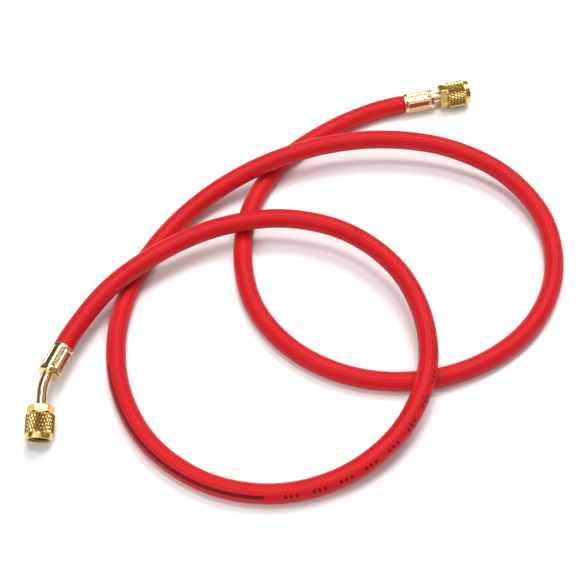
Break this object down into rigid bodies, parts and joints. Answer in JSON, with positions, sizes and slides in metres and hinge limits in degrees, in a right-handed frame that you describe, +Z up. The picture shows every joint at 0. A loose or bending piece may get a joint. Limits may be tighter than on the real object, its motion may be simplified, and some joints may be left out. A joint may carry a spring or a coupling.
{
  "type": "refrigerant charging hose",
  "caption": "Flexible rubber hose lying in two loose loops, with crimped ferrules and knurled swivel nuts, one of them on a bent stem.",
  "frame": {"origin": "on the floor, under the middle of the whole part as it lies", "axes": "+Z up from the floor, +X along the longer side of the loops, from the bent end towards the straight end; the bent end's nut opens towards -Y"},
  "size_m": [0.3003, 0.2889, 0.0231],
  "materials": {
    "hose_rubber": "satin, finely ribbed",
    "pale_brass": "bright plated",
    "brass": "turned and knurled",
    "seal_rubber": "matte"
  },
  "bodies": {
    "hose_assembly": {"hose": "hose_rubber", "ferrule_bent_end": "pale_brass", "ferrule_straight_end": "pale_brass", "bent_stem": "pale_brass", "straight_stem": "pale_brass", "seal_bent_end": "seal_rubber", "seal_straight_end": "seal_rubber", "core_depressor": "brass"},
    "bent_end_nut": {"nut_bent_end": "brass"},
    "straight_end_nut": {"nut_straight_end": "brass"}
  },
  "joints": [
    {"name": "bent_end_nut_swivel", "type": "hinge", "parent": "hose_assembly", "child": "bent_end_nut", "pos_m": [-0.14188, -0.0991, 0.00937], "axis": [-0.0084, -0.9664, -0.2567], "continuous": true},
    {"name": "straight_end_nut_swivel", "type": "hinge", "parent": "hose_assembly", "child": "straight_end_nut", "pos_m": [0.09418, 0.13526, 0.00822], "axis": [0.9777, 0.2043, 0.0488], "continuous": true}
  ]
}
